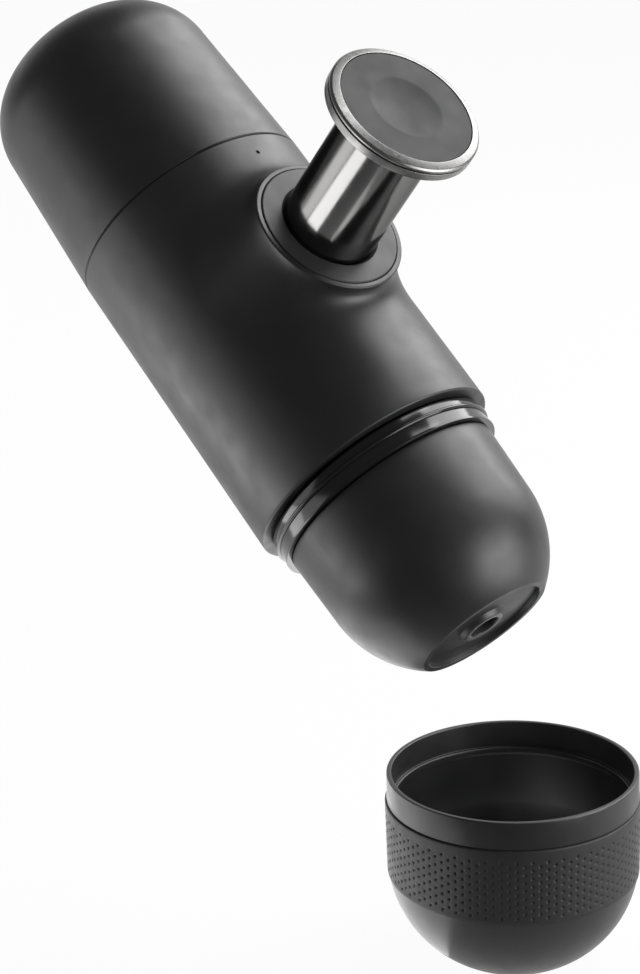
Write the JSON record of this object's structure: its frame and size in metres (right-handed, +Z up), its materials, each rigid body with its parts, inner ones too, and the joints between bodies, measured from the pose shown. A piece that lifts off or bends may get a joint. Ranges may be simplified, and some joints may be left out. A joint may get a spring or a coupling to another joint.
{
  "type": "handheld espresso maker",
  "caption": "Handheld manual espresso maker with a screw-on water tank, a side piston pump, a filter basket under a screw-on outlet head, and its round cup standing below the spout.",
  "frame": {"origin": "the point on the barrel straight behind the piston, where the palm presses", "axes": "+Z is up, the cup's axis; the maker's own axis lies in the XZ plane, its spout towards +X and down; the piston stands up towards +X"},
  "size_m": [0.1671, 0.0759, 0.2183],
  "materials": {
    "housing_plastic": "matte, fine moulded grain",
    "tank_plastic": "matte, fine moulded grain",
    "cap_ring_plastic": "satin, with a bright chamfer",
    "neck_plastic": "gloss black",
    "inner_plastic": "satin",
    "spout_plastic": "satin",
    "grip_rubber": "matte, with rows of small dots",
    "seal_rubber": "satin",
    "tube_metal": "dark polished",
    "knob_metal": "satin",
    "insert_plastic": "satin",
    "steel": "bright"
  },
  "bodies": {
    "housing": {"housing_shell": "housing_plastic", "inlet_deck": "inner_plastic", "inlet_strainer": "steel", "boss_cap_ring": "cap_ring_plastic", "piston_wiper": "seal_rubber", "pump_block": "inner_plastic", "return_spring": "steel", "inlet_valve_spring": "steel", "outlet_valve_spring": "steel", "group_head": "inner_plastic", "shower_screen": "steel", "shower_screw": "steel", "group_gasket": "seal_rubber"},
    "tank_seal": {"tank_gasket": "seal_rubber"},
    "tank": {"water_tank": "tank_plastic"},
    "inlet_check": {"inlet_valve": "seal_rubber"},
    "outlet_check": {"outlet_valve": "seal_rubber"},
    "plunger": {"plunger_rod": "steel", "plunger_seal": "seal_rubber"},
    "press_knob": {"piston_tube": "tube_metal", "guide_ring": "seal_rubber", "knob": "knob_metal", "knob_insert": "insert_plastic"},
    "head_ring": {"head_seal": "seal_rubber"},
    "head": {"neck_ring": "neck_plastic", "outlet_head": "housing_plastic", "spout_nozzle": "spout_plastic", "spout_nut": "steel"},
    "basket": {"filter_basket": "steel", "basket_screen": "steel"},
    "cup": {"cup_shell": "housing_plastic", "cup_grip": "grip_rubber"}
  },
  "joints": [
    {"name": "piston_slide", "type": "slide", "parent": "housing", "child": "plunger", "axis": [0.6649, -0.0332, 0.7462], "range_m": [-0.033, 0], "stiffness_N_per_m": 250, "springref_m": 0.012, "deforming": ["return_spring"]},
    {"name": "piston_turn", "type": "hinge", "parent": "plunger", "child": "press_knob", "pos_m": [0.02003, -0.001, 0.02248], "axis": [0.6649, -0.0332, 0.7462], "range_deg": [0, 45]},
    {"name": "tank_draw", "type": "slide", "parent": "housing", "child": "tank_seal", "axis": [-0.7466, 0, 0.6652], "range_m": [0, 0.012]},
    {"name": "tank_turn", "type": "hinge", "parent": "tank_seal", "child": "tank", "pos_m": [-0.00357, -0.001, 0.0435], "axis": [-0.7466, 0, 0.6652], "range_deg": [0, 540]},
    {"name": "head_draw", "type": "slide", "parent": "housing", "child": "head_ring", "axis": [0.7466, 0, -0.6652], "range_m": [0, 0.018]},
    {"name": "head_turn", "type": "hinge", "parent": "head_ring", "child": "head", "pos_m": [0.05422, -0.001, -0.00799], "axis": [0.7466, 0, -0.6652], "range_deg": [0, 540]},
    {"name": "basket_draw", "type": "slide", "parent": "housing", "child": "basket", "axis": [0.7466, 0, -0.6652], "range_m": [0, 0.009]},
    {"name": "inlet_valve_lift", "type": "slide", "parent": "housing", "child": "inlet_check", "axis": [0.7466, 0, -0.6652], "range_m": [0, 0.0012], "stiffness_N_per_m": 40, "springref_m": -0.002, "deforming": ["inlet_valve_spring"]},
    {"name": "outlet_valve_lift", "type": "slide", "parent": "housing", "child": "outlet_check", "axis": [0.7466, 0, -0.6652], "range_m": [0, 0.0012], "stiffness_N_per_m": 40, "springref_m": -0.002, "deforming": ["outlet_valve_spring"]},
    {"name": "cup_lift", "type": "slide", "parent": "housing", "child": "cup", "axis": [0, 0, 1], "range_m": [0, 0.014]}
  ],
  "couplings": [
    {"joint": "tank_draw", "follows": "tank_turn", "m_per_rad": 0.0012732},
    {"joint": "head_draw", "follows": "head_turn", "m_per_rad": 0.0019099},
    {"joint": "basket_draw", "follows": "head_turn", "m_per_rad": 0.00095493}
  ]
}
